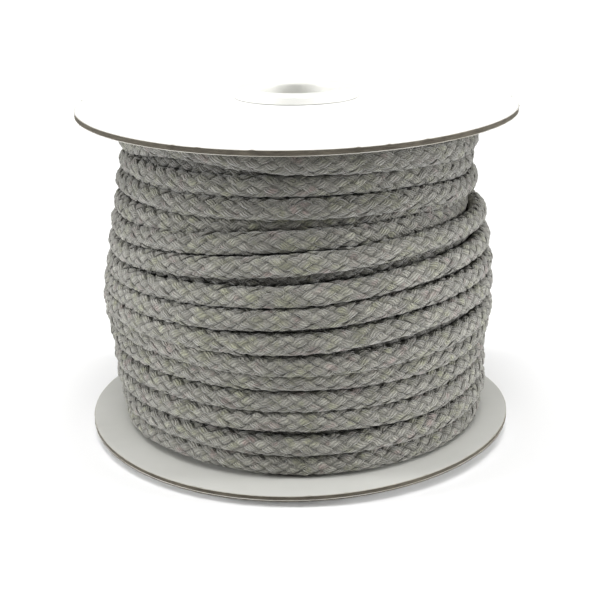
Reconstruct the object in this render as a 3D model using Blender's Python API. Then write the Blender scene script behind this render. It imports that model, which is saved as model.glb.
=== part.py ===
# Roll of braided cotton cord on a spool with two round card ends and a plastic hub.
# Metres, +Z up. The origin lies on the spool's axis, on the face that the spool stands on.
# The front of the roll looks along -Y, and its right side lies along +X.

import math
from collections import namedtuple

import bmesh
import bpy

MM = 0.001
FIT_GAP = 0.3 * MM

# Card ends
CARD_RADIUS = 55.0 * MM
CARD_THICKNESS = 1.4 * MM
CARD_SEAT_RADIUS = 17.0 * MM      # flat middle that the hub is seated on
CARD_SPAN = 81.6 * MM             # underside of the lower rim to the top of the upper rim
TOP_CROWN = 2.3 * MM              # how far the upper card's middle stands above its rim
CROWN_POWER = 1.6
CARD_WARP = 0.8 * MM              # how far a rim bends up at two sides and down at the others
TOP_WARP_TURN = math.radians(-8)
BOTTOM_WARP_TURN = math.radians(-19)
CARD_RINGS = 6
CARD_SEGMENTS = 60

# Hub
BORE_RADIUS = 10.0 * MM
SPIGOT_RADIUS = 12.2 * MM
SPIGOT_DEPTH = 10.0 * MM          # below the collar, through the card and into the tube
COLLAR_RADIUS = 15.6 * MM
COLLAR_HEIGHT = 2.3 * MM          # above the card's face
COLLAR_OUTER_ROUND = 0.8 * MM
COLLAR_BORE_ROUND = 1.2 * MM
ROUND_STEPS = 3
TUBE_INNER_RADIUS = SPIGOT_RADIUS + FIT_GAP
TUBE_OUTER_RADIUS = 14.5 * MM
HUB_SEGMENTS = 48

# Cord
CORD_RADIUS = 2.6 * MM
GAP_DEPTH_RATE = 1.2              # how fast the groove deepens where two turns part
STEPS_PER_TURN = 36
SECTION_STEPS = 6

# Heights along the axis
LOWER_CARD_BASE = COLLAR_HEIGHT
LOWER_CARD_TOP = LOWER_CARD_BASE + CARD_THICKNESS
UPPER_CARD_BASE = LOWER_CARD_BASE + CARD_SPAN - CARD_THICKNESS
UPPER_CARD_TOP = UPPER_CARD_BASE + CARD_THICKNESS
TUBE_TOP = UPPER_CARD_BASE + TOP_CROWN - FIT_GAP

# The outer turns of the winding, one row each, from the lower card up. The first five columns are
# the height of the cord's middle above the lower card, and the last three are the reach of the
# turn from the spool's axis. All are in millimetres.
Turn = namedtuple("Turn", "left mid_left front mid_right right reach_left reach_front reach_right")
TURNS = (
    Turn(3.0, 3.7, 3.0, 3.2, 3.8, 46.6, 47.4, 48.2),
    Turn(8.4, 9.3, 8.7, 9.0, 9.6, 47.4, 48.2, 49.2),
    Turn(13.6, 14.4, 14.4, 14.6, 15.2, 48.3, 48.6, 49.0),
    Turn(19.2, 19.9, 19.8, 19.9, 20.3, 48.8, 48.8, 48.7),
    Turn(25.0, 25.2, 24.6, 25.0, 25.6, 49.4, 49.2, 49.6),
    Turn(29.8, 29.7, 29.3, 30.6, 31.0, 50.3, 50.0, 50.4),
    Turn(34.4, 34.2, 35.0, 36.8, 36.8, 50.8, 50.8, 50.4),
    Turn(38.8, 39.3, 40.5, 42.3, 42.3, 50.2, 50.6, 50.0),
    Turn(43.2, 44.3, 45.8, 47.8, 48.2, 49.3, 50.0, 49.3),
    Turn(48.0, 50.0, 52.3, 54.2, 54.8, 48.5, 49.2, 48.1),
    Turn(53.2, 54.5, 56.9, 58.0, 57.9, 47.7, 47.8, 45.0),
    Turn(59.1, 59.1, 60.5, 61.0, 60.6, 46.6, 46.1, 44.8),
    Turn(64.6, 64.2, 64.6, 64.6, 63.5, 45.9, 46.1, 45.5),
    Turn(69.2, 69.0, 69.4, 69.2, 68.4, 44.9, 45.3, 44.1),
    Turn(76.4, 76.3, 74.5, 74.2, 73.6, 47.3, 47.0, 45.8),
)
HEIGHT_STATIONS = {"left": -70, "mid_left": -40, "front": 0, "mid_right": 40, "right": 70}
REACH_STATIONS = {"reach_left": -70, "reach_front": 0, "reach_right": 70}
FULL_TURN = 360.0
START_ANGLE = -180.0              # the winding starts and ends at the back
START_HEIGHT = 3.0 * MM
START_REACH = 43.5 * MM
END_HEIGHT = 76.4 * MM
END_REACH = 42.5 * MM

# Colours
CORD_GREY = (0.30, 0.30, 0.285)
CARD_WHITE = (0.82, 0.82, 0.80)
PLASTIC_WHITE = (0.86, 0.86, 0.83)


def clear_scene():
    for scene_object in list(bpy.data.objects):
        bpy.data.objects.remove(scene_object, do_unlink=True)


def make_material(name, colour, roughness):
    material = bpy.data.materials.new(name)
    material.use_nodes = True
    shader = material.node_tree.nodes["Principled BSDF"]
    shader.inputs["Base Color"].default_value = (*colour, 1.0)
    shader.inputs["Roughness"].default_value = roughness
    shader.inputs["Metallic"].default_value = 0.0
    return material


def add_object(name, bm, material, sharp_degrees):
    bmesh.ops.recalc_face_normals(bm, faces=bm.faces)
    mesh = bpy.data.meshes.new(name)
    bm.to_mesh(mesh)
    bm.free()
    mesh.materials.append(material)
    mesh.shade_smooth()
    mesh.set_sharp_from_angle(angle=math.radians(sharp_degrees))
    new_object = bpy.data.objects.new(name, mesh)
    bpy.context.collection.objects.link(new_object)
    return new_object


def turned_bmesh(profile, segments):
    # A closed profile of (radius, height) points, spun about the Z axis.
    bm = bmesh.new()
    verts = [bm.verts.new((radius, 0.0, height)) for radius, height in profile]
    edges = [bm.edges.new((verts[i - 1], verts[i])) for i in range(len(verts))]
    bmesh.ops.spin(
        bm,
        geom=verts + edges,
        cent=(0.0, 0.0, 0.0),
        axis=(0.0, 0.0, 1.0),
        angle=math.tau,
        steps=segments,
        use_merge=True,
    )
    return bm


def quarter_round(centre, radius, start_degrees, steps):
    # Points of a quarter circle, counted anticlockwise from its start.
    points = []
    for step in range(steps + 1):
        angle = math.radians(start_degrees + 90.0 * step / steps)
        point = (centre[0] + radius * math.cos(angle), centre[1] + radius * math.sin(angle))
        points.append(point)
    return points


def card_rise(x, y, crown, warp_turn):
    # How far a card's face lies above the height of its rim at this place.
    radius = math.hypot(x, y)
    share = max(0.0, (radius - CARD_SEAT_RADIUS) / (CARD_RADIUS - CARD_SEAT_RADIUS))
    dome = crown * (1.0 - share ** CROWN_POWER)
    warp = CARD_WARP * share ** 2 * math.cos(2.0 * (math.atan2(y, x) - warp_turn))
    return dome + warp


def lower_card_rise(x, y):
    return card_rise(x, y, 0.0, BOTTOM_WARP_TURN)


def upper_card_rise(x, y):
    return card_rise(x, y, TOP_CROWN, TOP_WARP_TURN)


def add_card(name, base_height, rise, material):
    radii = [TUBE_INNER_RADIUS, CARD_SEAT_RADIUS]
    ring_width = (CARD_RADIUS - CARD_SEAT_RADIUS) / (CARD_RINGS - 1)
    radii += [CARD_SEAT_RADIUS + ring_width * (ring + 1) for ring in range(CARD_RINGS - 1)]
    lower_face = [(radius, 0.0) for radius in radii]
    upper_face = [(radius, CARD_THICKNESS) for radius in reversed(radii)]
    bm = turned_bmesh(lower_face + upper_face, CARD_SEGMENTS)
    for vert in bm.verts:
        vert.co.z += rise(vert.co.x, vert.co.y)
    card = add_object(name, bm, material, 40)
    card.location.z = base_height
    return card


def add_collar(name, card_face, outward, material):
    # The bushing is drawn from the card's face outwards, and outward is 1 upwards or -1 downwards.
    top = COLLAR_HEIGHT
    outer_centre = (COLLAR_RADIUS - COLLAR_OUTER_ROUND, top - COLLAR_OUTER_ROUND)
    bore_centre = (BORE_RADIUS + COLLAR_BORE_ROUND, top - COLLAR_BORE_ROUND)
    profile = [(BORE_RADIUS, FIT_GAP - SPIGOT_DEPTH), (SPIGOT_RADIUS, FIT_GAP - SPIGOT_DEPTH)]
    profile += [(SPIGOT_RADIUS, FIT_GAP), (COLLAR_RADIUS, FIT_GAP)]
    profile += quarter_round(outer_centre, COLLAR_OUTER_ROUND, 0, ROUND_STEPS)
    profile += quarter_round(bore_centre, COLLAR_BORE_ROUND, 90, ROUND_STEPS)
    bm = turned_bmesh([(radius, outward * height) for radius, height in profile], HUB_SEGMENTS)
    collar = add_object(name, bm, material, 40)
    collar.location.z = card_face
    return collar


def add_tube(material):
    bottom = LOWER_CARD_TOP + FIT_GAP
    profile = [
        (TUBE_INNER_RADIUS, 0.0),
        (TUBE_OUTER_RADIUS, 0.0),
        (TUBE_OUTER_RADIUS, TUBE_TOP - bottom),
        (TUBE_INNER_RADIUS, TUBE_TOP - bottom),
    ]
    tube = add_object("hub_tube", turned_bmesh(profile, HUB_SEGMENTS), material, 40)
    tube.location.z = bottom
    return tube


def station_points(stations, first_value, last_value):
    # The named columns of every turn in order along the cord, as (angle, value) points.
    points = [(START_ANGLE, first_value)]
    for index, turn in enumerate(TURNS):
        for column, angle in stations.items():
            points.append((FULL_TURN * index + angle, getattr(turn, column) * MM))
    points.append((FULL_TURN * len(TURNS) + START_ANGLE, last_value))
    return points


def curve_slopes(points):
    slopes = []
    for index in range(len(points)):
        before = points[max(index - 1, 0)]
        after = points[min(index + 1, len(points) - 1)]
        slopes.append((after[1] - before[1]) / (after[0] - before[0]))
    return slopes


def curve_value(points, slopes, angle):
    # A smooth cubic curve through the points.
    index = 0
    while index < len(points) - 2 and angle > points[index + 1][0]:
        index += 1
    (start, low), (end, high) = points[index], points[index + 1]
    span = end - start
    t = (angle - start) / span
    value = low * (2 * t**3 - 3 * t**2 + 1) + high * (3 * t**2 - 2 * t**3)
    value += span * slopes[index] * (t**3 - 2 * t**2 + t)
    value += span * slopes[index + 1] * (t**3 - t**2)
    return value


def cord_path():
    # The middle of the cord at every step of the winding, as (azimuth, radius, height).
    heights = station_points(HEIGHT_STATIONS, START_HEIGHT, END_HEIGHT)
    reaches = station_points(REACH_STATIONS, START_REACH, END_REACH)
    height_slopes = curve_slopes(heights)
    reach_slopes = curve_slopes(reaches)
    path = []
    for step in range(len(TURNS) * STEPS_PER_TURN + 1):
        angle = START_ANGLE + FULL_TURN * step / STEPS_PER_TURN
        azimuth = math.radians(angle - 90.0)
        radius = curve_value(reaches, reach_slopes, angle) - CORD_RADIUS
        height = LOWER_CARD_TOP + curve_value(heights, height_slopes, angle)
        path.append((azimuth, radius, height))
    return path


def groove_point(below, above):
    # The bottom of the groove between two turns: where their round sections meet, or
    # further in where they stand apart.
    gap_r = above[1] - below[1]
    gap_z = above[2] - below[2]
    distance = math.hypot(gap_r, gap_z)
    half = distance / 2.0
    if half < CORD_RADIUS:
        offset = math.sqrt(CORD_RADIUS**2 - half**2)
    else:
        offset = GAP_DEPTH_RATE * (CORD_RADIUS - half)
    middle_r = (below[1] + above[1]) / 2.0
    middle_z = (below[2] + above[2]) / 2.0
    return (below[0], middle_r + offset * gap_z / distance, middle_z - offset * gap_r / distance)


def place(azimuth, radius, height):
    return (radius * math.cos(azimuth), radius * math.sin(azimuth), height)


def lowest_edge(point):
    x, y, _ = place(*point)
    card = LOWER_CARD_TOP + lower_card_rise(x, y) + FIT_GAP
    return (point[0], point[1], max(card, point[2] - CORD_RADIUS))


def highest_edge(point):
    x, y, _ = place(*point)
    card = UPPER_CARD_BASE + upper_card_rise(x, y) - FIT_GAP
    return (point[0], point[1], min(card, point[2] + CORD_RADIUS))


def section_points(middle, low_edge, high_edge):
    # The rounded face of one turn between its lower and upper edges.
    azimuth, radius, height = middle
    low_angle = math.atan2(low_edge[2] - height, low_edge[1] - radius)
    high_angle = math.atan2(high_edge[2] - height, high_edge[1] - radius)
    points = []
    for step in range(1, SECTION_STEPS):
        angle = low_angle + (high_angle - low_angle) * step / SECTION_STEPS
        point_radius = radius + CORD_RADIUS * math.cos(angle)
        points.append((azimuth, point_radius, height + CORD_RADIUS * math.sin(angle)))
    return points


def hub_ring(bm, height):
    ring = []
    for step in range(STEPS_PER_TURN):
        azimuth = math.radians(START_ANGLE + FULL_TURN * step / STEPS_PER_TURN - 90.0)
        ring.append(bm.verts.new(place(azimuth, TUBE_OUTER_RADIUS + FIT_GAP, height)))
    return ring


def add_cord_roll(material):
    # One long ribbon of rounded turns, each joined to the turn below along a shared groove,
    # closed by an end face at the cord's start and finish, two caps and the wall of the bore.
    bm = bmesh.new()
    path = cord_path()
    last = len(path) - 1
    turn = STEPS_PER_TURN
    grooves = [groove_point(path[i], path[i + turn]) for i in range(last - turn + 1)]
    low_edges = [lowest_edge(path[i]) for i in range(turn)] + grooves
    high_edges = grooves + [highest_edge(path[i]) for i in range(last - turn + 1, last + 1)]
    groove_verts = [bm.verts.new(place(*groove)) for groove in grooves]
    bottom_verts = [bm.verts.new(place(*edge)) for edge in low_edges[:turn]] + groove_verts[:1]
    top_verts = groove_verts[-1:] + [bm.verts.new(place(*edge)) for edge in high_edges[-turn:]]
    low_verts = bottom_verts[:turn] + groove_verts
    high_verts = groove_verts + top_verts[1:]

    columns = []
    for i in range(last + 1):
        inner = section_points(path[i], low_edges[i], high_edges[i])
        section = [bm.verts.new(place(*point)) for point in inner]
        columns.append([low_verts[i]] + section + [high_verts[i]])
    for left, right in zip(columns[:-1], columns[1:]):
        for row in range(SECTION_STEPS):
            bm.faces.new((left[row], right[row], right[row + 1], left[row + 1]))

    hub_low = hub_ring(bm, LOWER_CARD_TOP + FIT_GAP)
    hub_high = hub_ring(bm, TUBE_TOP)
    for i in range(turn):
        after = (i + 1) % turn
        bm.faces.new((hub_low[i], hub_low[after], bottom_verts[i + 1], bottom_verts[i]))
        bm.faces.new((hub_high[after], hub_high[i], top_verts[i], top_verts[i + 1]))
        bm.faces.new((hub_low[after], hub_low[i], hub_high[i], hub_high[after]))
    bm.faces.new(columns[0] + [hub_low[0]])
    bm.faces.new(list(reversed(columns[-1])) + [hub_high[0]])
    return add_object("cord_roll", bm, material, 60)


def build():
    clear_scene()
    cord = make_material("grey_marl_cotton", CORD_GREY, 0.95)
    card = make_material("white_faced_board", CARD_WHITE, 0.7)
    plastic = make_material("white_plastic", PLASTIC_WHITE, 0.35)
    add_card("bottom_card", LOWER_CARD_BASE, lower_card_rise, card)
    add_card("top_card", UPPER_CARD_BASE, upper_card_rise, card)
    add_collar("bottom_collar", LOWER_CARD_BASE, -1, plastic)
    add_collar("top_collar", UPPER_CARD_TOP + TOP_CROWN, 1, plastic)
    add_tube(plastic)
    add_cord_roll(cord)


build()
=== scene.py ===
# Roll of braided cotton cord on a spool with two round card ends and a plastic hub: the looks.
# The front of the roll faces -Y. Lengths in the dictionaries are in millimetres, unless noted.
import math

import bmesh
import bpy
import numpy as np
from mathutils import Matrix, Vector


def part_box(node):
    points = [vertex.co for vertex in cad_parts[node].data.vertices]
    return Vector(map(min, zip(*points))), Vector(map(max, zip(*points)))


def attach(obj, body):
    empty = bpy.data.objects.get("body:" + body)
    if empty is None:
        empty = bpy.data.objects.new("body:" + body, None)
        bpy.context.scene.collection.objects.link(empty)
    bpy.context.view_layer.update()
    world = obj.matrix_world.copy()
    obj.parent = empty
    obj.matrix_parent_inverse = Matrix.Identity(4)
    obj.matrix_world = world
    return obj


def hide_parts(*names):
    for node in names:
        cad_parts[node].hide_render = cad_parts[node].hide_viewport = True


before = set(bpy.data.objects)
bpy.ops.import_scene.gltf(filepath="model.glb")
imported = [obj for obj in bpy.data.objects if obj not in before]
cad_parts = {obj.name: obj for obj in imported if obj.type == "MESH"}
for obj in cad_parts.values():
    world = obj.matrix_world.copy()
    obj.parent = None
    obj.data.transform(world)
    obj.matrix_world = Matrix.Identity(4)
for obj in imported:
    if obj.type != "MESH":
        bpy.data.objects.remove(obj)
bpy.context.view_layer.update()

mm = 0.001
fitGap = 0.3                                   # play between the parts of the spool

# Heights that the frame gives
tubeLow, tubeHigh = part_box("hub_tube")
lowerFace = tubeLow[2] / mm - fitGap           # face of the lower card's middle
upperFace = tubeHigh[2] / mm + fitGap          # underside of the upper card's middle


# Camera and light

cameraSet = {
    "place": (0.28, -310.32, 132.78),
    "tiltDown": 17.91,                         # degrees
    "roll": -0.727,
    "lens": 74.23,
    "sensor": 36.0,
    "clipStart": 10.0,
}
worldLight = {"colour": (1.0, 1.0, 1.0, 1.0), "power": 0.065}
# Broad lights from afar: degrees round from the front, degrees above the floor, degrees across
# and power.
farLights = {
    "sky": (0.0, 90.0, 82.0, 2.60),
    "leftSide": (-86.0, 15.0, 17.0, 2.38),
    "rightSide": (86.0, 12.0, 17.0, 2.50),
}
# A smaller light near the roll, in metres and watts
nearLight = {
    "place": (0.0, -0.35, 0.95),
    "aim": (0.0, 0.0, 0.045),
    "size": 0.30,
    "power": 2.60,
}


def addCamera():
    camera = bpy.data.objects.new("camera", bpy.data.cameras.new("camera"))
    camera.data.lens = cameraSet["lens"]
    camera.data.sensor_width = cameraSet["sensor"]
    camera.data.clip_start = cameraSet["clipStart"] * mm
    tilt = Matrix.Rotation(math.radians(90.0 - cameraSet["tiltDown"]), 4, "X")
    turn = Matrix.Rotation(math.radians(cameraSet["roll"]), 4, "Z")
    place = Matrix.Translation([value * mm for value in cameraSet["place"]])
    camera.matrix_world = place @ tilt @ turn
    bpy.context.scene.collection.objects.link(camera)
    bpy.context.scene.camera = camera


def addLamp(name, kind, power):
    lamp = bpy.data.objects.new(name, bpy.data.lights.new(name, kind))
    lamp.data.energy = power
    bpy.context.scene.collection.objects.link(lamp)
    return lamp


def addLights():
    world = bpy.data.worlds.new("studio")
    world.use_nodes = True
    background = world.node_tree.nodes["Background"]
    background.inputs["Color"].default_value = worldLight["colour"]
    background.inputs["Strength"].default_value = worldLight["power"]
    bpy.context.scene.world = world
    for name, (turn, rise, across, power) in farLights.items():
        lamp = addLamp(name, "SUN", power)
        lamp.data.angle = math.radians(across)
        lamp.rotation_euler = (math.radians(90.0 - rise), 0.0, math.radians(turn))
    lamp = addLamp("highFront", "AREA", nearLight["power"])
    lamp.data.size = nearLight["size"]
    lamp.location = nearLight["place"]
    aim = Vector(nearLight["aim"]) - lamp.location
    lamp.rotation_euler = aim.to_track_quat("-Z", "Y").to_euler()
    bpy.context.scene.view_settings.view_transform = "Standard"


addCamera()
addLights()
print("camera and lights")


# Node helpers

def addNode(tree, kind, values=None, **settings):
    node = tree.nodes.new(kind)
    for setting, value in settings.items():
        setattr(node, setting, value)
    for socket, value in (values or {}).items():
        if isinstance(value, bpy.types.NodeSocket):
            tree.links.new(value, node.inputs[socket])
        else:
            node.inputs[socket].default_value = value
    return node


def newMaterial(name, roughness):
    material = bpy.data.materials.new(name)
    material.use_nodes = True
    shader = material.node_tree.nodes["Principled BSDF"]
    shader.inputs["Roughness"].default_value = roughness
    return material, material.node_tree, shader


def mathNode(tree, operation, *values):
    return addNode(tree, "ShaderNodeMath", dict(enumerate(values)), operation=operation).outputs[0]


def mixColours(tree, factor, first, second, blend="MIX"):
    values = {0: factor, 6: first, 7: second}
    return addNode(tree, "ShaderNodeMix", values, data_type="RGBA", blend_type=blend).outputs[2]


def spread(tree, value, low, high, toLow=0.0, toHigh=1.0):
    values = {"Value": value, "From Min": low, "From Max": high, "To Min": toLow, "To Max": toHigh}
    return addNode(tree, "ShaderNodeMapRange", values).outputs["Result"]


def noiseAt(tree, place, scale, detail, roughness=0.5):
    values = {"Vector": place, "Scale": scale, "Detail": detail, "Roughness": roughness}
    return addNode(tree, "ShaderNodeTexNoise", values).outputs["Fac"]


def scaledPlace(tree, place, scale):
    return addNode(tree, "ShaderNodeMapping", {"Vector": place, "Scale": scale}).outputs[0]


def objectPlace(tree):
    return addNode(tree, "ShaderNodeTexCoord").outputs["Object"]


def addBump(tree, shader, height, look):
    values = {"Height": height, "Strength": look["bump"], "Distance": look["bumpHeight"] * mm}
    bump = addNode(tree, "ShaderNodeBump", values)
    tree.links.new(bump.outputs["Normal"], shader.inputs["Normal"])


def newGroup(name, inputs, outputs):
    group = bpy.data.node_groups.new(name, "ShaderNodeTree")
    for socketName, kind, value in inputs:
        socket = group.interface.new_socket(socketName, in_out="INPUT", socket_type=kind)
        if value is not None:
            socket.default_value = value
    for socketName in outputs:
        group.interface.new_socket(socketName, in_out="OUTPUT", socket_type="NodeSocketFloat")
    start = group.nodes.new("NodeGroupInput")
    end = group.nodes.new("NodeGroupOutput")
    return group, start.outputs, end.inputs


# Shared effects

yarnGrain = {
    "waverScale": 0.7,                         # how quickly the yarn ends wander from side to side
    "fibreTurn": 0.12,                         # radians that the fibres lean off the yarn ends
    "fibreStretch": (0.35, 3.4, 1.0),
    "twistHeight": 0.10,                       # against 1 for the round back of a yarn end
    "fibreHeight": 0.5,
}


def makeYarnGroup():
    # Parallel yarn ends with their twist and fine fibres, read from a map with millimetres along
    # and across a strand.
    group, start, end = newGroup(
        "yarnEnds",
        [
            ("Vector", "NodeSocketVector", None),
            ("End Pitch", "NodeSocketFloat", 0.56),
            ("Twist Pitch", "NodeSocketFloat", 0.9),
            ("Fibre Scale", "NodeSocketFloat", 3.2),
            ("Waver", "NodeSocketFloat", 0.2),
        ],
        ["Ridge", "Streak", "Height"],
    )
    parts = addNode(group, "ShaderNodeSeparateXYZ", {0: start["Vector"]}).outputs
    drift = noiseAt(group, start["Vector"], yarnGrain["waverScale"], 1.0)
    drift = mathNode(group, "MULTIPLY", spread(group, drift, 0.25, 0.75, -1.0, 1.0), start["Waver"])
    phase = mathNode(group, "ADD", mathNode(group, "DIVIDE", parts["Y"], start["End Pitch"]), drift)
    halfTurns = mathNode(group, "MULTIPLY", phase, math.pi)
    ridge = mathNode(group, "ABSOLUTE", mathNode(group, "SINE", halfTurns))
    turns = mathNode(group, "DIVIDE", parts["X"], start["Twist Pitch"])
    turns = mathNode(group, "MULTIPLY", mathNode(group, "ADD", turns, phase), math.tau)
    twist = mathNode(group, "MULTIPLY", mathNode(group, "SINE", turns), yarnGrain["twistHeight"])
    turn = {"Vector": start["Vector"], "Rotation": (0.0, 0.0, yarnGrain["fibreTurn"])}
    turned = addNode(group, "ShaderNodeMapping", turn).outputs[0]
    stretched = scaledPlace(group, turned, yarnGrain["fibreStretch"])
    fibre = noiseAt(group, stretched, start["Fibre Scale"], 5.0, 0.62)
    fine = mathNode(group, "MULTIPLY", fibre, yarnGrain["fibreHeight"])
    height = mathNode(group, "ADD", ridge, mathNode(group, "ADD", twist, fine))
    group.links.new(ridge, end["Ridge"])
    group.links.new(fibre, end["Streak"])
    group.links.new(height, end["Height"])
    return group


def makeMottleGroup():
    # Soft uneven tone with fine grain, for paper, board and plastic.
    group, start, end = newGroup(
        "mottle",
        [
            ("Vector", "NodeSocketVector", None),
            ("Patch Scale", "NodeSocketFloat", 60.0),
            ("Grain Scale", "NodeSocketFloat", 900.0),
        ],
        ["Patches", "Grain"],
    )
    patches = noiseAt(group, start["Vector"], start["Patch Scale"], 3.0, 0.55)
    grain = noiseAt(group, start["Vector"], start["Grain Scale"], 4.0, 0.65)
    group.links.new(patches, end["Patches"])
    group.links.new(grain, end["Grain"])
    return group


yarnEnds = makeYarnGroup()
mottle = makeMottleGroup()


def mottleAt(tree, place, look):
    values = {
        "Vector": place,
        "Patch Scale": look["patchScale"],
        "Grain Scale": look["grainScale"],
    }
    return addNode(tree, "ShaderNodeGroup", values, node_tree=mottle).outputs


# Yarn

yarnLook = {
    "roughness": 0.92,
    "pale": (0.49, 0.477, 0.420, 1.0),
    "mid": (0.33, 0.323, 0.281, 1.0),
    "dark": (0.19, 0.185, 0.161, 1.0),
    # painted shade: the colour that the stitches' sides and ends darken to, where they meet and dive
    # under their neighbours
    "gap": (0.12, 0.116, 0.098, 1.0),
    "darkToMid": (0.34, 0.54),                 # the fibre pattern's levels where the tones change
    "midToPale": (0.52, 0.70),
    "olive": (0.97, 1.0, 0.80, 1.0),           # slight tints that come and go along the cord
    "rose": (1.0, 0.83, 0.86, 1.0),
    "tintScale": 250.0,
    "oliveFrom": (0.51, 0.66),
    "roseFrom": (0.40, 0.32),
    "paintedShadeHeights": (56.0, 81.0),              # painted shade: the turns close under the upper card are darkened in colour, as in that card's shade
    "paintedShadeTone": 0.60,
    "valleyShade": 0.55,                            # painted shade: tone between two yarn ends, against 1 on top of them
    "valleyTop": 0.8,
    "shadePower": 1.5,
    "endPitch": 0.64,                          # three to four yarn ends side by side in a strand
    "twistPitch": 0.95,
    "fibreScale": 3.2,
    "waver": 0.4,
    "bump": 1.0,
    "bumpHeight": 0.18,
    "sheen": 0.5,
    "sheenRoughness": 0.6,
    "specular": 0.15,
}
# Yarn that only shows in the shade between the stitches and the outer turns
deepLook = {
    "roughness": 0.95,
    "tuftScale": 380.0,
    "tuftStretch": (1.0, 1.0, 2.2),
    "darkToMid": (0.35, 0.65),
    "bump": 1.0,
    "bumpHeight": 0.6,
}


def makeYarn():
    material, tree, shader = newMaterial("greyMarlYarn", yarnLook["roughness"])
    values = {
        "Vector": addNode(tree, "ShaderNodeUVMap", uv_map="strand").outputs["UV"],
        "End Pitch": yarnLook["endPitch"],
        "Twist Pitch": yarnLook["twistPitch"],
        "Fibre Scale": yarnLook["fibreScale"],
        "Waver": yarnLook["waver"],
    }
    ends = addNode(tree, "ShaderNodeGroup", values, node_tree=yarnEnds).outputs
    tone = addNode(tree, "ShaderNodeAttribute", attribute_name="tone").outputs["Fac"]
    litShare = addNode(tree, "ShaderNodeAttribute", attribute_name="litShare").outputs["Fac"]
    toMid = spread(tree, ends["Streak"], *yarnLook["darkToMid"])
    toPale = spread(tree, ends["Streak"], *yarnLook["midToPale"])
    marl = mixColours(tree, toMid, yarnLook["dark"], yarnLook["mid"])
    marl = mixColours(tree, toPale, marl, yarnLook["pale"])
    place = objectPlace(tree)
    change = noiseAt(tree, place, yarnLook["tintScale"], 2.0)
    toOlive = spread(tree, change, *yarnLook["oliveFrom"])
    toRose = spread(tree, change, *yarnLook["roseFrom"])
    tint = mixColours(tree, toOlive, (1.0, 1.0, 1.0, 1.0), yarnLook["olive"])
    tint = mixColours(tree, toRose, tint, yarnLook["rose"])
    # Painted shade: the colour darkens towards the upper card, for the shade that card casts on the top
    # turns.
    height = addNode(tree, "ShaderNodeSeparateXYZ", {0: place}).outputs["Z"]
    low, high = [value * mm for value in yarnLook["paintedShadeHeights"]]
    paintedShade = spread(tree, height, low, high, 1.0, yarnLook["paintedShadeTone"])
    # Painted shade in the valleys between the yarn ends.
    valleyShade = spread(tree, ends["Ridge"], 0.0, yarnLook["valleyTop"], yarnLook["valleyShade"])
    for factor in (tint, tone, paintedShade, valleyShade):
        marl = mixColours(tree, 1.0, marl, factor, "MULTIPLY")
    # Painted shade: the stitches' sides and ends darken towards the gap colour.
    litShare = mathNode(tree, "POWER", litShare, yarnLook["shadePower"])
    tree.links.new(mixColours(tree, litShare, yarnLook["gap"], marl), shader.inputs["Base Color"])
    addBump(tree, shader, ends["Height"], yarnLook)
    shader.inputs["Sheen Weight"].default_value = yarnLook["sheen"]
    shader.inputs["Sheen Roughness"].default_value = yarnLook["sheenRoughness"]
    shader.inputs["Specular IOR Level"].default_value = yarnLook["specular"]
    return material


def makeDeepYarn():
    material, tree, shader = newMaterial("shadedYarn", deepLook["roughness"])
    flat = scaledPlace(tree, objectPlace(tree), deepLook["tuftStretch"])
    tufts = noiseAt(tree, flat, deepLook["tuftScale"], 4.0, 0.6)
    toMid = spread(tree, tufts, *deepLook["darkToMid"])
    colour = mixColours(tree, toMid, yarnLook["dark"], yarnLook["mid"])
    tree.links.new(colour, shader.inputs["Base Color"])
    addBump(tree, shader, tufts, deepLook)
    return material


# Paper, board and plastic

paperLook = {
    "roughness": 0.62,
    "outer": ((0.88, 0.88, 0.87, 1.0), (0.83, 0.83, 0.81, 1.0)),
    "inner": ((0.57, 0.57, 0.54, 1.0), (0.535, 0.535, 0.505, 1.0)),
    "rim": (0.34, 0.315, 0.255, 1.0),
    "rimFrom": (54.7, 54.95),                  # radii where the face turns to the rim's darker tone
    "patchScale": 55.0,
    "grainScale": 1400.0,
    "bump": 0.35,
    "bumpHeight": 0.04,
}
boardLook = {
    "roughness": 0.9,
    "pale": (0.125, 0.110, 0.082, 1.0),
    "dark": (0.045, 0.038, 0.028, 1.0),
    "darkToPale": (0.36, 0.62),
    "layerScale": 420.0,
    "layerStretch": (1.0, 1.0, 9.0),
    "patchScale": 130.0,
    "grainScale": 2200.0,
    "bump": 0.9,
    "bumpHeight": 0.12,
}
plasticLook = {
    "roughness": 0.38,
    "roughFrom": (0.33, 0.46),
    "white": (0.88, 0.88, 0.845, 1.0),
    "cream": (0.85, 0.85, 0.80, 1.0),
    "patchScale": 90.0,
    "grainScale": 1800.0,
    "bump": 0.15,
    "bumpHeight": 0.03,
}


def makePaper(name, tones):
    material, tree, shader = newMaterial(name, paperLook["roughness"])
    place = objectPlace(tree)
    spots = mottleAt(tree, place, paperLook)
    parts = addNode(tree, "ShaderNodeSeparateXYZ", {0: place}).outputs
    flat = addNode(tree, "ShaderNodeCombineXYZ", {"X": parts["X"], "Y": parts["Y"]}).outputs[0]
    radius = addNode(tree, "ShaderNodeVectorMath", {0: flat}, operation="LENGTH").outputs["Value"]
    face = mixColours(tree, spread(tree, spots["Patches"], 0.35, 0.65), tones[1], tones[0])
    low, high = [value * mm for value in paperLook["rimFrom"]]
    rimShare = spread(tree, spots["Patches"], 0.3, 0.7, 0.5, 1.0)
    rimShare = mathNode(tree, "MULTIPLY", spread(tree, radius, low, high), rimShare)
    tree.links.new(mixColours(tree, rimShare, face, paperLook["rim"]), shader.inputs["Base Color"])
    addBump(tree, shader, spots["Grain"], paperLook)
    return material


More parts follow.
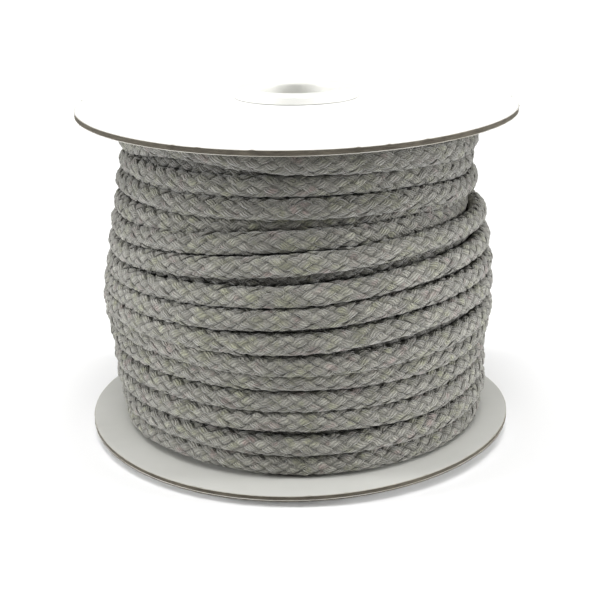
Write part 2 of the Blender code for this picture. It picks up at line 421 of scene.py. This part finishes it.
def makeBoard():
    # The cut edge: layers of grey board that run round the card.
    material, tree, shader = newMaterial("greyBoardEdge", boardLook["roughness"])
    place = objectPlace(tree)
    spots = mottleAt(tree, place, boardLook)
    layers = scaledPlace(tree, place, boardLook["layerStretch"])
    fibre = noiseAt(tree, layers, boardLook["layerScale"], 5.0, 0.7)
    patches = mathNode(tree, "MULTIPLY", spots["Patches"], 0.3)
    tone = mathNode(tree, "ADD", mathNode(tree, "MULTIPLY", fibre, 0.7), patches)
    toPale = spread(tree, tone, *boardLook["darkToPale"])
    colour = mixColours(tree, toPale, boardLook["dark"], boardLook["pale"])
    tree.links.new(colour, shader.inputs["Base Color"])
    grain = mathNode(tree, "MULTIPLY", spots["Grain"], 0.5)
    addBump(tree, shader, mathNode(tree, "ADD", fibre, grain), boardLook)
    return material


def makePlastic():
    material, tree, shader = newMaterial("mouldedWhitePlastic", plasticLook["roughness"])
    spots = mottleAt(tree, objectPlace(tree), plasticLook)
    toWhite = spread(tree, spots["Patches"], 0.3, 0.7)
    colour = mixColours(tree, toWhite, plasticLook["cream"], plasticLook["white"])
    tree.links.new(colour, shader.inputs["Base Color"])
    rough = spread(tree, spots["Grain"], 0.3, 0.7, *plasticLook["roughFrom"])
    tree.links.new(rough, shader.inputs["Roughness"])
    addBump(tree, shader, spots["Grain"], plasticLook)
    return material


yarn = makeYarn()
deepYarn = makeDeepYarn()
outerPaper = makePaper("whiteOuterPaper", paperLook["outer"])
innerPaper = makePaper("greyInnerPaper", paperLook["inner"])
board = makeBoard()
plastic = makePlastic()
print("materials")


# Piece helpers

def addPiece(name, mesh, materials, node):
    for material in materials:
        mesh.materials.append(material)
    piece = bpy.data.objects.new(name, mesh)
    bpy.context.scene.collection.objects.link(piece)
    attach(piece, "root")
    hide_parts(node)


def meshFrom(bm, name):
    mesh = bpy.data.meshes.new(name)
    bm.to_mesh(mesh)
    bm.free()
    mesh.shade_smooth()
    return mesh


def turnedShape(profile, segments):
    # A closed outline of (radius, height) points in millimetres, spun about the spool's axis.
    bm = bmesh.new()
    verts = [bm.verts.new((radius * mm, 0.0, height * mm)) for radius, height in profile]
    edges = [bm.edges.new((verts[i - 1], verts[i])) for i in range(len(verts))]
    axis = {"cent": (0, 0, 0), "axis": (0, 0, 1), "angle": math.tau}
    bmesh.ops.spin(bm, geom=verts + edges, **axis, steps=segments, use_merge=True)
    bmesh.ops.recalc_face_normals(bm, faces=bm.faces)
    return bm


def addHolder(data):
    # An object that only carries a curve or modifiers until its mesh is taken.
    holder = bpy.data.objects.new("holder", data)
    bpy.context.scene.collection.objects.link(holder)
    return holder


def takeMesh(holder, name):
    # The holder's finished mesh, with its modifiers applied. The holder goes.
    graph = bpy.context.evaluated_depsgraph_get()
    mesh = bpy.data.meshes.new_from_object(
        holder.evaluated_get(graph), preserve_all_data_layers=True, depsgraph=graph
    )
    bpy.data.objects.remove(holder)
    mesh.name = name
    return mesh


# Route of the winding

roll = {
    "cordRadius": 2.6,
    "startAngle": -180.0,                      # the winding starts and ends at the back
    "startHeight": 3.0,
    "startReach": 43.5,
    "endHeight": 76.4,
    "endReach": 42.5,
    "pointsPerTurn": 120,
    "waver": 0.10,                             # how far the cord strays from an even lay
    "waverParts": 24,
    "waverRates": (0.6, 4.5),
    "rollWander": 16.0,                        # degrees that the braid turns about its own length
    "seeds": (3, 5, 7),                        # for the reach, the height and the turning
}
heightStations = (-70, -40, 0, 40, 70)         # degrees from the front, positive to the right
reachStations = (-70, 0, 70)
# One row for each outer turn, from the lower card up: five heights of the cord's middle above the
# lower card, then three reaches from the spool's axis, at the stations above.
turnRows = (
    (2.8, 3.4, 2.6, 2.9, 3.6, 46.6, 47.4, 48.2),
    (7.3, 8.2, 7.8, 8.3, 9.1, 47.4, 48.2, 49.2),
    (13.1, 13.8, 14.3, 14.1, 14.8, 48.3, 48.6, 49.0),
    (18.4, 19.3, 19.2, 19.3, 20.0, 48.8, 48.8, 48.7),
    (24.7, 24.8, 24.6, 24.9, 25.4, 49.4, 49.2, 49.6),
    (29.9, 29.5, 28.2, 29.5, 29.9, 50.3, 50.0, 50.4),
    (33.5, 33.6, 34.0, 36.4, 36.4, 50.8, 50.8, 50.4),
    (38.1, 38.5, 39.8, 41.8, 41.7, 50.2, 50.6, 50.0),
    (42.5, 43.6, 45.0, 47.5, 47.9, 49.3, 50.0, 49.3),
    (47.7, 49.6, 52.1, 54.3, 54.1, 48.5, 49.2, 48.2),
    (52.9, 54.7, 57.0, 57.3, 56.3, 47.7, 47.2, 43.2),
    (58.0, 58.6, 60.2, 60.7, 59.8, 46.6, 43.3, 42.6),
    (63.8, 63.7, 64.0, 64.1, 62.8, 45.9, 46.1, 45.8),
    (68.5, 68.3, 69.1, 68.9, 67.9, 44.9, 45.3, 44.6),
    (73.9, 76.3, 74.4, 73.7, 73.0, 44.9, 47.0, 45.8),
)


def stationCurve(stations, firstColumn, firstValue, lastValue, angles):
    # A smooth cubic through one group of columns, read at the given angles.
    x = [roll["startAngle"]]
    y = [firstValue]
    for index, row in enumerate(turnRows):
        x += [360.0 * index + station for station in stations]
        y += row[firstColumn:firstColumn + len(stations)]
    x = np.array(x + [360.0 * len(turnRows) + roll["startAngle"]])
    y = np.array(y + [lastValue])
    places = np.arange(len(x))
    before = np.maximum(places - 1, 0)
    after = np.minimum(places + 1, len(x) - 1)
    slopes = (y[after] - y[before]) / (x[after] - x[before])
    i = np.clip(np.searchsorted(x, angles) - 1, 0, len(x) - 2)
    span = x[i + 1] - x[i]
    t = (angles - x[i]) / span
    value = y[i] * (2 * t**3 - 3 * t**2 + 1) + y[i + 1] * (3 * t**2 - 2 * t**3)
    return value + span * (slopes[i] * (t**3 - 2 * t**2 + t) + slopes[i + 1] * (t**3 - t**2))


def windingAt(angles):
    # Radius and height of the cord's middle at each angle of the winding.
    height = stationCurve(heightStations, 0, roll["startHeight"], roll["endHeight"], angles)
    column = len(heightStations)
    reach = stationCurve(reachStations, column, roll["startReach"], roll["endReach"], angles)
    return reach - roll["cordRadius"], lowerFace + height


def placeRound(angles, radius, height):
    azimuth = np.radians(angles - 90.0)
    return np.stack((radius * np.cos(azimuth), radius * np.sin(azimuth), height), axis=1) * mm


def softWaver(angles, seed):
    # A smooth uneven value between about -1 and 1.
    rng = np.random.default_rng(seed)
    value = np.zeros_like(angles)
    for _ in range(roll["waverParts"]):
        rate = rng.uniform(*roll["waverRates"])
        value += np.sin(np.radians(angles) * rate + rng.uniform(0, math.tau))
    return value / math.sqrt(roll["waverParts"] * 2)


def curveThrough(name, points):
    curve = bpy.data.curves.new(name, "CURVE")
    curve.dimensions = "3D"
    spline = curve.splines.new("POLY")
    spline.points.add(len(points) - 1)
    spline.points.foreach_set("co", np.column_stack((points, np.ones(len(points)))).ravel())
    return curve


def addRoute(name, points, tilts):
    curve = curveThrough(name, points)
    curve.twist_mode = "Z_UP"
    curve.splines[0].points.foreach_set("tilt", tilts)
    return addHolder(curve)


# Braid

braid = {
    "strands": 12,                             # half of them wind each way, one over and one under
    "repeat": 4.1,                             # from one stitch to the next in the same row
    "builtRows": (-3.5, -2.5, -1.5, -0.5, 0.5, 1.5, 2.5, 3.5),   # counted from the outward side
    "underRows": (-1.5, -0.5, 0.5, 1.5),       # the next layer down shows only in the gaps
    "strandRadius": 2.33,                      # middle of a strand where it lies on top
    "halfThick": 0.28,
    "halfWidth": 1.17,
    "steeper": 2.0,                            # degrees that a stitch lies steeper than its strand
    "tuck": 1.30,                              # how far a stitch runs on under its neighbours
    "dive": 0.34,
    "diveFrom": 0.35,
    "endTaper": 0.05,
    "back": (0.5, -0.9),                       # across and height of a stitch's hidden side
    "sideLitShare": 0.15,                         # painted shade: how little of the full tone a stitch's sides keep
    # painted shade towards a stitch's ends, where it dives under its neighbours
    "endShade": 0.8,
    "mapStretch": 0.3,
    "heartRadius": 2.2,
    "pieces": 5,
    "seed": 11,
}
underLayer = {
    "tone": 0.45,                              # painted shade: the yarn of the next layer down is darkened for the shade it lies in
    "depth": 3.3,
    "step": 6.0,                               # degrees
    "heartRadius": 2.0,
    "seed": 31,
}
# How much one stitch differs from the next
variety = {
    "lean": 4.5,                               # degrees
    "size": 0.05,
    "shift": 0.065,
    "ripple": 0.05,
    "rippleRate": 2600.0,                      # radians in a metre
    "tone": 0.13,
    "toneLimits": (0.68, 1.32),
    "mapReach": 40.0,
    "mapShift": 0.07,
}
# Height of a strand's face across its width and the cuts along its length. Rows that face the
# neighbouring turns need less.
stitchKinds = {
    "fine": (
        ((-1.0, 0.0), (-0.86, 0.66), (-0.47, 0.93), (0.0, 1.0), (0.47, 0.93), (0.86, 0.66), (1.0, 0.0)),
        (-1.0, -0.75, -0.42, 0.0, 0.42, 0.75, 1.0),
    ),
    "side": (
        ((-1.0, 0.0), (-0.82, 0.7), (0.0, 1.0), (0.82, 0.7), (1.0, 0.0)),
        (-1.0, -0.75, -0.35, 0.35, 0.75, 1.0),
    ),
    "deep": (((-1.0, 0.0), (-0.8, 0.9), (0.8, 0.9), (1.0, 0.0)), (-1.0, 0.0, 1.0)),
}


def stitchPlace(t, across, height, row, slant):
    # Where a point of a flat stitch lies on the round braid, in millimetres. The ends of a stitch
    # are cut along the strand that crosses it.
    rowTurn = math.tau / braid["strands"]
    outer = braid["strandRadius"] + braid["halfThick"]
    slope = math.atan2(rowTurn * outer, braid["repeat"] / 2.0)
    halfLength = braid["repeat"] / 4.0 / math.cos(slope)
    slope += math.radians(braid["steeper"])
    reach = t * braid["tuck"]
    width = across * braid["halfWidth"] * (1.0 - braid["endTaper"] * abs(reach) ** 3)
    length = reach * halfLength - slant * width / math.tan(2.0 * slope)
    sink = (abs(reach) - braid["diveFrom"]) / (braid["tuck"] - braid["diveFrom"])
    sink = min(1.0, max(0.0, sink))
    radius = braid["strandRadius"] - braid["dive"] * sink * sink * (3.0 - 2.0 * sink)
    radius += height * braid["halfThick"]
    along = length * math.cos(slope) - slant * width * math.sin(slope)
    arc = slant * length * math.sin(slope) + width * math.cos(slope)
    angle = rowTurn * row + arc / outer
    return along, -radius * math.cos(angle), radius * math.sin(angle)


def stitchMesh(number, row, slant, kind):
    # A straight prism first, cut into rings, whose points are then laid on the braid.
    face, cuts = stitchKinds[kind]
    sides = len(face) + 2
    bm = bmesh.new()
    bmesh.ops.create_cone(bm, cap_ends=True, segments=sides, radius1=1.0, radius2=1.0, depth=2.0)
    longEdges = [edge for edge in bm.edges if abs(edge.verts[0].co.z - edge.verts[1].co.z) > 1.0]
    bmesh.ops.subdivide_edges(bm, edges=longEdges, cuts=len(cuts) - 2)
    stitchLayer = bm.verts.layers.int.new("stitch")
    litShareLayer = bm.verts.layers.float.new("litShare")
    mapLayer = bm.loops.layers.uv.new("strand")
    bm.verts.ensure_lookup_table()
    firstAngle = math.atan2(bm.verts[0].co.y, bm.verts[0].co.x)
    spacing = math.tau / sides
    middle = braid["repeat"] * (0.25 if slant > 0 else 0.75)
    backAcross, backHeight = braid["back"]
    flat = {}
    for vert in bm.verts:
        index = round((math.atan2(vert.co.y, vert.co.x) - firstAngle) / spacing) % sides
        if index < len(face):
            across, height = face[index]
        else:
            across = backAcross if index == len(face) else -backAcross
            height = backHeight
        t = cuts[round((vert.co.z + 1.0) / 2.0 * (len(cuts) - 1))]
        flat[vert] = (t, across)
        vert[stitchLayer] = number
        # Painted shade: less of the full tone on a stitch's sides and at its ends, as in the creases
        # between stitches.
        litShare = braid["sideLitShare"] + (1.0 - braid["sideLitShare"]) * max(0.0, height) ** 1.5
        vert[litShareLayer] = litShare * (1.0 - braid["endShade"] * abs(t) ** 2.5)
        along, y, z = stitchPlace(t, across, height, row, slant)
        vert.co = ((along + middle) * mm, y * mm, z * mm)
    mapLength = braid["tuck"] * braid["repeat"] * braid["mapStretch"]
    for meshFace in bm.faces:
        for loop in meshFace.loops:
            t, across = flat[loop.vert]
            loop[mapLayer].uv = (t * mapLength, across * braid["halfWidth"])
    bmesh.ops.recalc_face_normals(bm, faces=bm.faces)
    return meshFrom(bm, "stitch")


def braidUnit(rows, deep):
    # One stitch in each built row, which is the length of braid that repeats.
    bm = bmesh.new()
    for number, row in enumerate(rows):
        slant = 1.0 if number % 2 == 0 else -1.0
        kind = "fine" if abs(row) < 2.0 else "side"
        if deep or abs(row) > 3.0:
            kind = "deep"
        bm.from_mesh(stitchMesh(number, row, slant, kind))
    return meshFrom(bm, "braidUnit")


def readValues(data, key, count, kind=np.float32):
    values = np.empty(count, dtype=kind)
    data.foreach_get(key, values)
    return values


def unitLong(vectors):
    return vectors / np.linalg.norm(vectors, axis=1)[:, None]


def varyStitches(mesh, copies, perUnit, layerShade, seed):
    # Each stitch gets its own size, lift, tone and part of the fibre pattern.
    rng = np.random.default_rng(seed)
    count = len(mesh.vertices)
    points = readValues(mesh.vertices, "co", count * 3).reshape(-1, 3)
    inUnit = readValues(mesh.attributes["stitch"].data, "value", count, np.int32)
    stitch = np.repeat(np.arange(copies), count // copies) * perUnit + inUnit
    total = copies * perUnit
    sizes = np.bincount(stitch, minlength=total)
    middles = [np.bincount(stitch, points[:, k], total) / sizes for k in range(3)]
    middles = np.stack(middles, axis=1)
    outward = unitLong(middles * (1.0, 1.0, 0.0))
    lean = np.radians(rng.normal(0.0, variety["lean"], total))[stitch][:, None]
    scale = rng.normal(1.0, variety["size"], (total, 1))[stitch]
    shift = rng.normal(0.0, variety["shift"] * mm, (total, 3))[stitch]
    arm = (points - middles[stitch]) * scale
    arm = arm * np.cos(lean) + np.cross(outward[stitch], arm) * np.sin(lean)
    points = middles[stitch] + arm + shift
    ripple = np.sin(points[:, [1, 2, 0]] * variety["rippleRate"] + 1.3)
    points += variety["ripple"] * mm * ripple
    mesh.vertices.foreach_set("co", points.astype(np.float32).ravel())
    tones = np.clip(rng.normal(1.0, variety["tone"], total), *variety["toneLimits"])
    # A layer's painted shade darkens every stitch's tone; 1 leaves it unshaded.
    tones = (layerShade * tones)[stitch]
    tone = mesh.attributes.new("tone", "FLOAT", "POINT")
    tone.data.foreach_set("value", tones.astype(np.float32))
    loops = readValues(mesh.loops, "vertex_index", len(mesh.loops), np.int32)
    strandMap = mesh.uv_layers["strand"].data
    uv = readValues(strandMap, "uv", len(mesh.loops) * 2).reshape(-1, 2)
    reach = variety["mapReach"]
    offsets = rng.uniform(-reach, reach, (total, 2)).astype(np.float32)
    ends = np.round(offsets[:, 1]) * yarnLook["endPitch"]
    offsets[:, 1] = ends + rng.normal(0.0, variety["mapShift"], total)
    strandMap.foreach_set("uv", (uv + offsets[stitch[loops]]).ravel())
    mesh.attributes.remove(mesh.attributes["stitch"])


def addStitches(name, unit, perUnit, route, first, copies, layerShade, seed):
    # Copies of the unit in a row, laid along the route from the given repeat on.
    holder = addHolder(unit.copy())
    holder.data.transform(Matrix.Translation((first * braid["repeat"] * mm, 0, 0)))
    array = holder.modifiers.new("repeats", "ARRAY")
    array.use_relative_offset = False
    array.use_constant_offset = True
    array.constant_offset_displace = (braid["repeat"] * mm, 0.0, 0.0)
    array.count = copies
    bend = holder.modifiers.new("wind", "CURVE")
    bend.object = route
    bend.deform_axis = "POS_X"
    mesh = takeMesh(holder, name)
    varyStitches(mesh, copies, perUnit, layerShade, seed)
    print("  ", name, len(mesh.polygons), "faces")
    addPiece(name, mesh, [yarn], "cord_roll")


def repeatsIn(points):
    length = np.linalg.norm(np.diff(points, axis=0), axis=1).sum()
    print("braid length", round(float(length), 3), "m")
    return int(length / (braid["repeat"] * mm))


def addTubeAlong(name, points, radius, resolution):
    curve = curveThrough(name, points)
    curve.bevel_depth = radius * mm
    curve.bevel_resolution = resolution
    curve.use_fill_caps = True
    mesh = takeMesh(addHolder(curve), name)
    bm = bmesh.new()
    bm.from_mesh(mesh)
    bmesh.ops.remove_doubles(bm, verts=bm.verts, dist=0.01 * mm)
    bmesh.ops.recalc_face_normals(bm, faces=bm.faces)
    bm.to_mesh(mesh)
    bm.free()
    mesh.shade_smooth()
    addPiece(name, mesh, [deepYarn], "cord_roll")


def addBraid():
    count = len(turnRows) * roll["pointsPerTurn"] + 1
    angles = roll["startAngle"] + np.arange(count) * (360.0 / roll["pointsPerTurn"])
    radius, height = windingAt(angles)
    reachSeed, heightSeed, turnSeed = roll["seeds"]
    radius = radius + roll["waver"] * softWaver(angles, reachSeed)
    height = height + roll["waver"] * softWaver(angles, heightSeed)
    points = placeRound(angles, radius, height)
    tilts = np.radians(roll["rollWander"]) * softWaver(angles / 3.0, turnSeed)
    route = addRoute("cordRoute", points, tilts)
    repeats = repeatsIn(points)
    rows = braid["builtRows"]
    unit = braidUnit(rows, False)
    share = math.ceil(repeats / braid["pieces"])
    for index in range(braid["pieces"]):
        first = index * share
        copies = min(share, repeats - first)
        name = f"cord_turns_{index + 1}"
        seed = braid["seed"] + index
        addStitches(name, unit, len(rows), route, first, copies, 1.0, seed)
    bpy.data.objects.remove(route)
    # The core inside the braid, seen only as the dark bottom of the holes between stitches
    addTubeAlong("cord_heart", points[::2], braid["heartRadius"], resolution=4)
    return points


def addUnderLayer():
    # The next layer down, nested between the outer turns and seen in the gaps between them.
    last = roll["startAngle"] + 360.0 * (len(turnRows) - 1)
    angles = np.arange(roll["startAngle"], last + 0.1, underLayer["step"])
    lowRadius, lowHeight = windingAt(angles)
    highRadius, highHeight = windingAt(angles + 360.0)
    radius = (lowRadius + highRadius) / 2.0 - underLayer["depth"]
    points = placeRound(angles, radius, (lowHeight + highHeight) / 2.0)
    route = addRoute("underRoute", points, np.zeros(len(points)))
    repeats = repeatsIn(points)
    rows = braid["underRows"]
    unit = braidUnit(rows, True)
    look = (underLayer["tone"], underLayer["seed"])
    addStitches("cord_under_layer", unit, len(rows), route, 0, repeats, *look)
    bpy.data.objects.remove(route)
    addTubeAlong("cord_under_heart", points, underLayer["heartRadius"], resolution=1)


# Layers further in

innerTurns = {
    "count": 14,
    "radius": 37.4,
    "coreRadius": 15.0,
    "groove": 1.0,
    "lowGap": 0.5,                             # to the lower card
    "highGap": 1.4,                            # to the upper card
    "segments": 64,
}


def addInnerTurns():
    # One turned body: what shows in the shade below the upper card.
    low = lowerFace + innerTurns["lowGap"]
    high = upperFace - innerTurns["highGap"]
    profile = [(innerTurns["coreRadius"], low)]
    for index, height in enumerate(np.linspace(low, high, 2 * innerTurns["count"] + 1)):
        groove = innerTurns["groove"] if index % 2 == 0 else 0.0
        profile.append((innerTurns["radius"] - groove, float(height)))
    profile.append((innerTurns["coreRadius"], high))
    mesh = meshFrom(turnedShape(profile, innerTurns["segments"]), "cord_inner_turns")
    addPiece("cord_inner_turns", mesh, [deepYarn], "cord_roll")


# Fuzz

fuzz = {
    "count": 5000,
    "lengths": (0.5, 1.7),
    "thickness": 0.036,
    "aroundCord": 95.0,                        # degrees either way from the outward side
    "lift": 0.45,                              # how steeply the hairs stand off the cord
    "liftShares": (0.1, 1.0),
    "bow": 0.25,                               # against a hair's length
    "droop": 0.12,
    "rootRadius": 2.45,
    "seed": 41,
}
fuzzLook = {
    "roughness": 0.9,
    "pale": (0.62, 0.61, 0.55, 1.0),
    "dark": (0.36, 0.35, 0.31, 1.0),
    "scale": 900.0,
    "specular": 0.1,
}


def makeFuzzMaterial():
    material, tree, shader = newMaterial("looseFibres", fuzzLook["roughness"])
    change = noiseAt(tree, objectPlace(tree), fuzzLook["scale"], 2.0)
    toPale = spread(tree, change, 0.35, 0.65)
    colour = mixColours(tree, toPale, fuzzLook["dark"], fuzzLook["pale"])
    tree.links.new(colour, shader.inputs["Base Color"])
    shader.inputs["Specular IOR Level"].default_value = fuzzLook["specular"]
    return material


def hairCopies():
    # One thin hair, copied by an array, and its points as copies by points by three.
    bm = bmesh.new()
    bmesh.ops.create_cone(bm, cap_ends=True, segments=3, radius1=0.5, radius2=0.0, depth=1.0)
    sides = [edge for edge in bm.edges if abs(edge.verts[0].co.z - edge.verts[1].co.z) > 0.5]
    bmesh.ops.subdivide_edges(bm, edges=sides, cuts=1)
    bmesh.ops.triangulate(bm, faces=bm.faces)
    bmesh.ops.recalc_face_normals(bm, faces=bm.faces)
    holder = addHolder(meshFrom(bm, "hair"))
    array = holder.modifiers.new("copies", "ARRAY")
    array.use_relative_offset = False
    array.count = fuzz["count"]
    mesh = takeMesh(holder, "cord_fuzz")
    shape = readValues(mesh.vertices, "co", len(mesh.vertices) * 3)
    return mesh, shape.reshape(fuzz["count"], -1, 3)


def addFuzz(points):
    # Short loose fibres: each copy of the hair is bent and set on the cord.
    rng = np.random.default_rng(fuzz["seed"])
    mesh, shape = hairCopies()
    count = fuzz["count"]
    at = rng.integers(4, len(points) - 4, count)
    along = points[at + 1] - points[at]
    root = points[at] + along * rng.uniform(0.0, 1.0, (count, 1))
    along = unitLong(along)
    outward = unitLong(root * (1.0, 1.0, 0.0))
    turn = np.radians(rng.uniform(-fuzz["aroundCord"], fuzz["aroundCord"], count))[:, None]
    normal = outward * np.cos(turn) + np.array((0.0, 0.0, 1.0)) * np.sin(turn)
    root = root + normal * fuzz["rootRadius"] * mm
    heading = rng.uniform(0.0, math.tau, (count, 1))
    lift = rng.uniform(*fuzz["liftShares"], (count, 1)) * fuzz["lift"]
    run = along * np.cos(heading) + np.cross(normal, along) * np.sin(heading)
    aim = unitLong(run + normal * lift)
    side = np.cross(aim, normal)
    bow = side * rng.normal(0.0, fuzz["bow"], (count, 1)) - normal * fuzz["droop"]
    side = unitLong(side)
    otherSide = np.cross(aim, side)
    length = rng.uniform(*fuzz["lengths"], (count, 1, 1)) * mm
    reach = shape[:, :, 2:3] + 0.5
    place = root[:, None, :] + aim[:, None, :] * reach * length
    place = place + bow[:, None, :] * (reach**2) * length
    wide = side[:, None, :] * shape[:, :, 0:1] + otherSide[:, None, :] * shape[:, :, 1:2]
    place = place + wide * fuzz["thickness"] * mm
    mesh.vertices.foreach_set("co", place.astype(np.float32).ravel())
    addPiece("cord_fuzz", mesh, [makeFuzzMaterial()], "cord_roll")


windingPoints = addBraid()
addUnderLayer()
addInnerTurns()
addFuzz(windingPoints)
print("cord")


# Cards

card = {
    "radius": 55.0,
    "thickness": 1.4,
    "facing": 0.10,                            # depth of the white facing at the upper rim
    "lowerLiner": (0.28, 0.47),                # heights of the pale layer in the lower card's edge
    "upperLiner": (0.04, 0.20),                # and in the upper card's edge
    "holeRadius": 12.5,
    "seatRadius": 17.0,
    "rings": 6,
    "rimRings": (0.62, 0.12),                  # how far inside the rim the last two rings lie
    "topCrown": 2.3,
    "crownPower": 1.6,
    "warp": 0.8,
    "topWarpTurn": -8.0,                       # degrees
    "bottomWarpTurn": -19.0,
    "segments": 400,
    "edgeRows": 5,
    "edgeDent": 0.05,                          # the board lies this much inside its paper
    "edgeStrip": 0.3,                          # the strip at the rim that is roughened
    "edgeRough": 0.006,                        # for each wave
    "edgeWaves": 40,
    "waveRates": (30, 230),
    "waveLean": 7.0,
    "burrs": 16,                               # small tufts of torn paper round each rim
    "burrSize": 0.28,
    "burrRise": 0.196,
    "lowerSeed": 21,
    "upperSeed": 22,
    "sharpFrom": 50.0,                         # degrees
}


def cardRise(x, y, crown, warpTurn):
    # How far a card's face lies above the height of its rim at this place, in millimetres.
    radius = math.hypot(x, y)
    share = max(0.0, (radius - card["seatRadius"]) / (card["radius"] - card["seatRadius"]))
    dome = crown * (1.0 - share ** card["crownPower"])
    warp = card["warp"] * share**2 * math.cos(2.0 * (math.atan2(y, x) - math.radians(warpTurn)))
    return dome + warp


def cardProfile(liner):
    top = card["thickness"]
    rim = card["radius"]
    facing = top - card["facing"]
    inside, last = [rim - gap for gap in card["rimRings"]]
    radii = [card["holeRadius"]]
    radii += list(np.linspace(card["seatRadius"], inside, card["rings"])) + [last]
    edge = [(rim - 0.02, 0.02), (rim, liner[0]), (rim, liner[1])]
    inner = np.linspace(liner[1], facing, card["edgeRows"])
    edge += [(rim - card["edgeDent"], height) for height in inner[1:-1]]
    edge += [(rim, facing), (rim - 0.02, top - 0.03)]
    return [(r, 0.0) for r in radii] + edge + [(r, top) for r in reversed(radii)]


def cardMaterialIndex(middle, liner, outerSide):
    # 0 for the outer paper, 1 for the inner paper and 2 for the board of the cut edge.
    level = middle.z / mm
    atRim = math.hypot(middle.x, middle.y) > (card["radius"] - 0.08) * mm
    if atRim and level < card["thickness"] - card["facing"]:
        return 0 if liner[0] < level < liner[1] else 2
    return 0 if (level - card["thickness"] / 2.0) * outerSide > 0.0 else 1


def roughenRim(bm, rng):
    # Uneven cut board, and a few burrs that stand up at the upper rim.
    waves = rng.uniform(0.0, math.tau, card["edgeWaves"])
    rates = rng.integers(*card["waveRates"], card["edgeWaves"])
    burrs = rng.uniform(-math.pi, math.pi, card["burrs"])
    burrLevel = card["thickness"] - card["facing"] - 0.01
    burrReach = math.pi / card["segments"]
    for vert in bm.verts:
        radius = math.hypot(vert.co.x, vert.co.y)
        if radius < (card["radius"] - card["edgeStrip"]) * mm:
            continue
        turn = math.atan2(vert.co.y, vert.co.x)
        level = vert.co.z / mm
        lean = level * card["waveLean"] * np.sin(waves)
        push = float(np.sin(rates * turn + waves + lean).sum())
        radius += card["edgeRough"] * mm * push
        if level > burrLevel and np.abs(burrs - turn).min() < burrReach:
            radius += card["burrSize"] * mm
            vert.co.z += card["burrRise"] * mm
        vert.co.x = radius * math.cos(turn)
        vert.co.y = radius * math.sin(turn)


def addCard(name, node, base, crown, warpTurn, liner, outerSide, seed):
    bm = turnedShape(cardProfile(liner), card["segments"])
    for face in bm.faces:
        face.material_index = cardMaterialIndex(face.calc_center_median(), liner, outerSide)
    roughenRim(bm, np.random.default_rng(seed))
    for vert in bm.verts:
        vert.co.z += (base + cardRise(vert.co.x / mm, vert.co.y / mm, crown, warpTurn)) * mm
    mesh = meshFrom(bm, name)
    mesh.set_sharp_from_angle(angle=math.radians(card["sharpFrom"]))
    addPiece(name, mesh, [outerPaper, innerPaper, board], node)


lowerBase = lowerFace - card["thickness"]
upperBase = upperFace - card["topCrown"]
lowerShape = (lowerBase, 0.0, card["bottomWarpTurn"], card["lowerLiner"])
upperShape = (upperBase, card["topCrown"], card["topWarpTurn"], card["upperLiner"])
addCard("lower_card", "bottom_card", *lowerShape, -1, card["lowerSeed"])
addCard("upper_card", "top_card", *upperShape, 1, card["upperSeed"])
print("cards")


# Hub

hub = {
    "boreRadius": 10.0,
    "spigotRadius": 12.2,
    "spigotDepth": 10.0,
    "collarRadius": 15.6,
    "collarHeight": 2.3,
    "outerRound": 0.8,
    "boreRound": 1.2,
    "roundSteps": 8,
    "seatGap": 0.12,
    "seatChamfer": 0.1,
    "spigotChamfer": 0.4,
    "tubeInner": 12.5,
    "tubeOuter": 14.5,
    "tubeChamfer": 0.25,
    "segments": 160,
    "sharpFrom": 35.0,                         # degrees
}


def quarterRound(centre, radius, startDegrees):
    points = []
    for step in range(hub["roundSteps"] + 1):
        angle = math.radians(startDegrees + 90.0 * step / hub["roundSteps"])
        points.append((centre[0] + radius * math.cos(angle), centre[1] + radius * math.sin(angle)))
    return points


def addHubPiece(name, node, profile):
    mesh = meshFrom(turnedShape(profile, hub["segments"]), name)
    mesh.set_sharp_from_angle(angle=math.radians(hub["sharpFrom"]))
    addPiece(name, mesh, [plastic], node)


def addCollar(name, node, face, outward):
    bore = hub["boreRadius"]
    spigot = hub["spigotRadius"]
    rim = hub["collarRadius"]
    top = hub["collarHeight"]
    seat = hub["seatGap"]
    deep = fitGap - hub["spigotDepth"]
    cut = hub["spigotChamfer"]
    profile = [(bore, deep + cut), (bore + cut, deep), (spigot - cut, deep), (spigot, deep + cut)]
    profile += [(spigot, seat), (rim - hub["seatChamfer"], seat), (rim, seat + hub["seatChamfer"])]
    outerCentre = (rim - hub["outerRound"], top - hub["outerRound"])
    profile += quarterRound(outerCentre, hub["outerRound"], 0)
    boreCentre = (bore + hub["boreRound"], top - hub["boreRound"])
    profile += quarterRound(boreCentre, hub["boreRound"], 90)
    addHubPiece(name, node, [(radius, face + outward * height) for radius, height in profile])


def addTube():
    low = lowerFace + fitGap
    high = upperFace - fitGap
    inner = hub["tubeInner"]
    outer = hub["tubeOuter"]
    cut = hub["tubeChamfer"]
    profile = [(inner, low + cut), (inner + cut, low), (outer - cut, low), (outer, low + cut)]
    profile += [(outer, high - cut), (outer - cut, high), (inner + cut, high), (inner, high - cut)]
    addHubPiece("spool_tube", "hub_tube", profile)


addCollar("lower_collar", "bottom_collar", lowerBase, -1)
addCollar("upper_collar", "top_collar", upperFace + card["thickness"], 1)
addTube()
print("hub")


# Floor

floorSet = {
    "colour": (0.89, 0.89, 0.89, 1.0),
    "half": 12000.0,
    "roughness": 0.9,
}


def addFloor():
    material, tree, shader = newMaterial("paleFloor", floorSet["roughness"])
    shader.inputs["Base Color"].default_value = floorSet["colour"]
    shader.inputs["Specular IOR Level"].default_value = 0.0
    bm = bmesh.new()
    bmesh.ops.create_grid(bm, x_segments=1, y_segments=1, size=floorSet["half"] * mm)
    floor = bpy.data.objects.new("floor", meshFrom(bm, "floor"))
    floor.data.materials.append(material)
    bpy.context.scene.collection.objects.link(floor)


addFloor()
